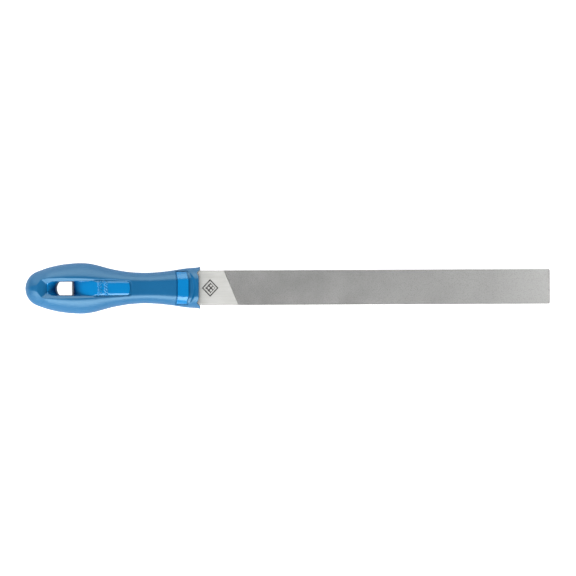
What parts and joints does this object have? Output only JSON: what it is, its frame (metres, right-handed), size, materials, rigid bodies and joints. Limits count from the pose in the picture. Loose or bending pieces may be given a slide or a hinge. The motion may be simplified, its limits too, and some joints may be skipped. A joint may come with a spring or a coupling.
{
  "type": "flat file",
  "caption": "Flat hand file of steel with double-cut faces and an uncut heel, its tang driven into a contoured two-shot plastic handle with a hang hole and a thumb pad.",
  "frame": {"origin": "middle of the whole tool's box: half way from butt to point, on the blade's mid-plane and centre line", "axes": "+X from the handle's butt to the file's point, +Z out of the upper working face, +Y across the width"},
  "size_m": [0.3702, 0.0358, 0.0274],
  "materials": {
    "file_steel": "cut teeth, ground heel",
    "hard_plastic": "satin moulded",
    "soft_grip": "smooth thermoplastic elastomer"
  },
  "bodies": {
    "root": {"file_blade": "file_steel", "handle_core": "hard_plastic", "grip_overmould": "soft_grip"}
  },
  "joints": []
}
